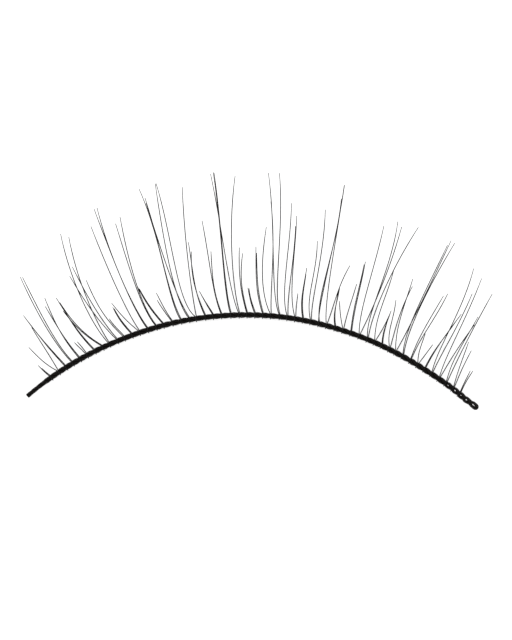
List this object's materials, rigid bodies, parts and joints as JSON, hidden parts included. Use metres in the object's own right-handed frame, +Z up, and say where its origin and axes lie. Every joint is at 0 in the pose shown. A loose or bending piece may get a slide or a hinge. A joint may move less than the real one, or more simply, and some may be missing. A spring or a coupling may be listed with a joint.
{
  "type": "false eyelash strip",
  "caption": "Strip of false eyelashes: a thin twisted thread band in an arch, with curved black hairs of uneven length knotted along it.",
  "frame": {"origin": "on the pressed underside of the middle knot, where the arch of the band is furthest out", "axes": "+X along the band to the right, +Y outwards to the hair tips, +Z up from the surface that the strip lies on"},
  "size_m": [0.0325, 0.0163, 0.0038],
  "materials": {
    "waxed_thread": "satin",
    "black_fibre": "satin"
  },
  "bodies": {
    "root": {"band_thread": "waxed_thread", "lash_01": "black_fibre", "lash_02": "black_fibre", "lash_03": "black_fibre", "lash_04": "black_fibre", "lash_05": "black_fibre", "lash_06": "black_fibre", "lash_07": "black_fibre", "lash_08": "black_fibre", "lash_09": "black_fibre", "lash_10": "black_fibre", "lash_11": "black_fibre", "lash_12": "black_fibre", "lash_13": "black_fibre", "lash_14": "black_fibre", "lash_15": "black_fibre", "lash_16": "black_fibre", "lash_17": "black_fibre", "lash_18": "black_fibre", "lash_19": "black_fibre", "lash_20": "black_fibre", "lash_21": "black_fibre", "lash_22": "black_fibre", "lash_23": "black_fibre", "lash_24": "black_fibre", "lash_25": "black_fibre", "lash_26": "black_fibre", "lash_27": "black_fibre", "lash_28": "black_fibre", "lash_29": "black_fibre", "lash_30": "black_fibre", "lash_31": "black_fibre", "lash_32": "black_fibre", "lash_33": "black_fibre", "lash_34": "black_fibre", "lash_35": "black_fibre", "lash_36": "black_fibre", "lash_37": "black_fibre", "lash_38": "black_fibre", "lash_39": "black_fibre", "lash_40": "black_fibre", "lash_41": "black_fibre", "lash_42": "black_fibre", "lash_43": "black_fibre", "lash_44": "black_fibre", "lash_45": "black_fibre", "lash_46": "black_fibre", "lash_47": "black_fibre", "lash_48": "black_fibre", "lash_49": "black_fibre", "lash_50": "black_fibre", "lash_51": "black_fibre", "lash_52": "black_fibre", "lash_53": "black_fibre", "lash_54": "black_fibre"}
  },
  "joints": []
}
